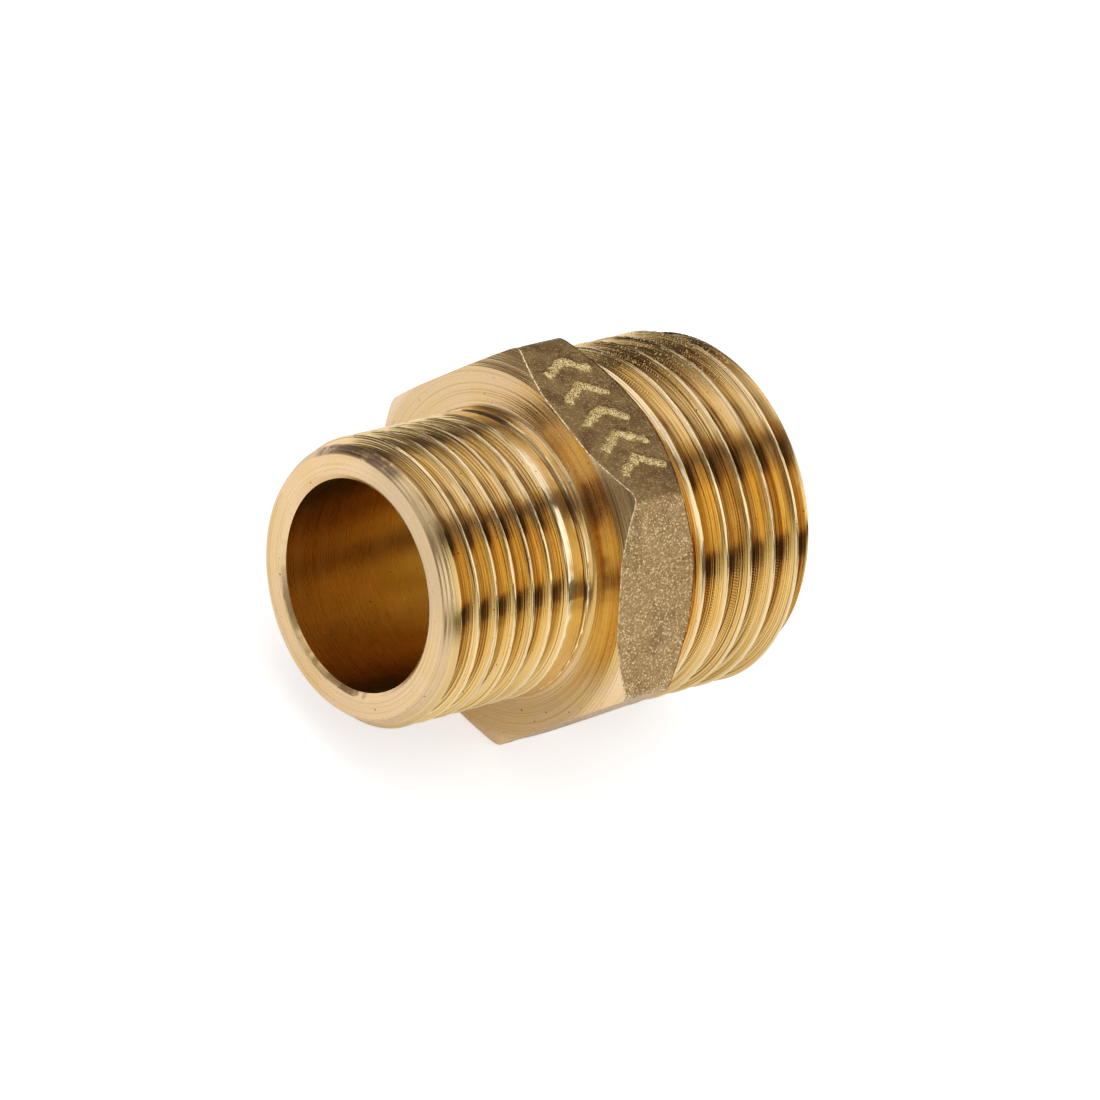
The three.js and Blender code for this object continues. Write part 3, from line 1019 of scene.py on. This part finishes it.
# Each softbox spans two azimuths, from +X towards +Y, and two elevations, in degrees
SOFTBOXES = [
    {"azimuth": (-9, 92), "elevation": (22, 70), "strength": 0.85},
    {"azimuth": (90, 158), "elevation": (28, 66), "strength": 0.85},
    {"azimuth": (158, 176), "elevation": (14, 60), "strength": 0.8},
    {"azimuth": (-92, -21), "elevation": (20, 60), "strength": 1.05},
    {"azimuth": (-150, -90), "elevation": (16, 56), "strength": 0.88},
    {"azimuth": (-190, 190), "elevation": (76, 95), "strength": 0.7},
    {"azimuth": (-165, 0), "elevation": (-90, 3), "strength": 0.5},
]
SOFTBOX_EDGE = 1.2
DIM_ROOM = 0.18
LAMP_SIZE = 0.5
LAMP_HEIGHT = 0.5
LAMP_ENERGY = 0.7


def add_light():
    """Big softboxes round the table, with the dim room showing between them.

    The last two boxes are the white ceiling and the white table's sweep. A lamp overhead, kept out
    of the reflections, lights the floor so that the nipple stands in a soft shadow.
    """
    world = bpy.data.worlds.new("studio")
    bpy.context.scene.world = world
    world.use_nodes = True
    tree = world.node_tree
    tree.nodes.clear()
    graph = Graph(tree)
    direction = graph.node("ShaderNodeTexCoord").outputs["Generated"]
    x, y, z = graph.node("ShaderNodeSeparateXYZ", {0: direction}).outputs
    azimuth = graph.math("DEGREES", graph.math("ARCTAN2", y, x))
    elevation = graph.math("DEGREES", graph.math("ARCSINE", z))
    strength = DIM_ROOM
    for box in SOFTBOXES:
        lit = graph.product(
            graph.between(azimuth, *box["azimuth"], SOFTBOX_EDGE),
            graph.between(elevation, *box["elevation"], SOFTBOX_EDGE),
            box["strength"],
        )
        strength = graph.math("ADD", strength, lit)
    studio = graph.node("ShaderNodeBackground", {"Color": (1, 1, 1, 1), "Strength": strength})
    backdrop = graph.node("ShaderNodeBackground", {"Color": (1, 1, 1, 1), "Strength": 1.0})
    seen = graph.node("ShaderNodeLightPath").outputs["Is Camera Ray"]
    both = graph.node("ShaderNodeMixShader", {0: seen, 1: studio.outputs[0], 2: backdrop.outputs[0]})
    graph.node("ShaderNodeOutputWorld", {"Surface": both.outputs[0]})

    lamp = bpy.data.lights.new("overhead", "AREA")
    lamp.size = LAMP_SIZE
    lamp.energy = LAMP_ENERGY
    overhead = bpy.data.objects.new("overhead", lamp)
    overhead.location = (0, 0, LAMP_HEIGHT)
    overhead.visible_glossy = False
    bpy.context.scene.collection.objects.link(overhead)


# Points added to the view's straight tone curve: value in, value out
TONE_CURVE = [(0.03, 0.0135), (0.09, 0.057), (0.18, 0.153), (0.3, 0.29), (0.5, 0.5)]


def set_tone():
    """Plain colours with slightly deepened shadows, as a camera's picture has."""
    view = bpy.context.scene.view_settings
    view.view_transform = "Standard"
    view.use_curve_mapping = True
    curve = view.curve_mapping.curves[3]
    for point in TONE_CURVE:
        curve.points.new(*point)
    view.curve_mapping.update()


def add_camera():
    back = Vector((
        math.sin(CAMERA_AZIMUTH) * math.cos(CAMERA_ELEVATION),
        -math.cos(CAMERA_AZIMUTH) * math.cos(CAMERA_ELEVATION),
        math.sin(CAMERA_ELEVATION),
    ))
    level = Vector((math.cos(CAMERA_AZIMUTH), math.sin(CAMERA_AZIMUTH), 0))
    turn = Matrix.Rotation(CAMERA_ROLL, 3, back)
    right = turn @ level
    up = back.cross(right)
    camera = bpy.data.objects.new("camera", bpy.data.cameras.new("camera"))
    bpy.context.scene.collection.objects.link(camera)
    place = Matrix((right, up, back)).transposed().to_4x4()
    place.translation = CAMERA_AIM + CAMERA_DISTANCE * back
    camera.matrix_world = place
    camera.data.sensor_width = SENSOR
    camera.data.lens = CAMERA_LENS
    camera.data.clip_start = 0.01
    bpy.context.scene.camera = camera


# ---------------------------------------------------------------- the nipple

def add_nipple():
    mesh = nipple_mesh()
    for material in brass_materials():
        mesh.materials.append(material)
    nipple = bpy.data.objects.new("nipple", mesh)
    bpy.context.scene.collection.objects.link(nipple)
    mesh.shade_smooth()
    mesh.set_sharp_from_angle(angle=math.radians(32))
    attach(nipple, "root")
    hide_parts(NODE)


add_camera()
add_floor()
add_light()
set_tone()
add_nipple()
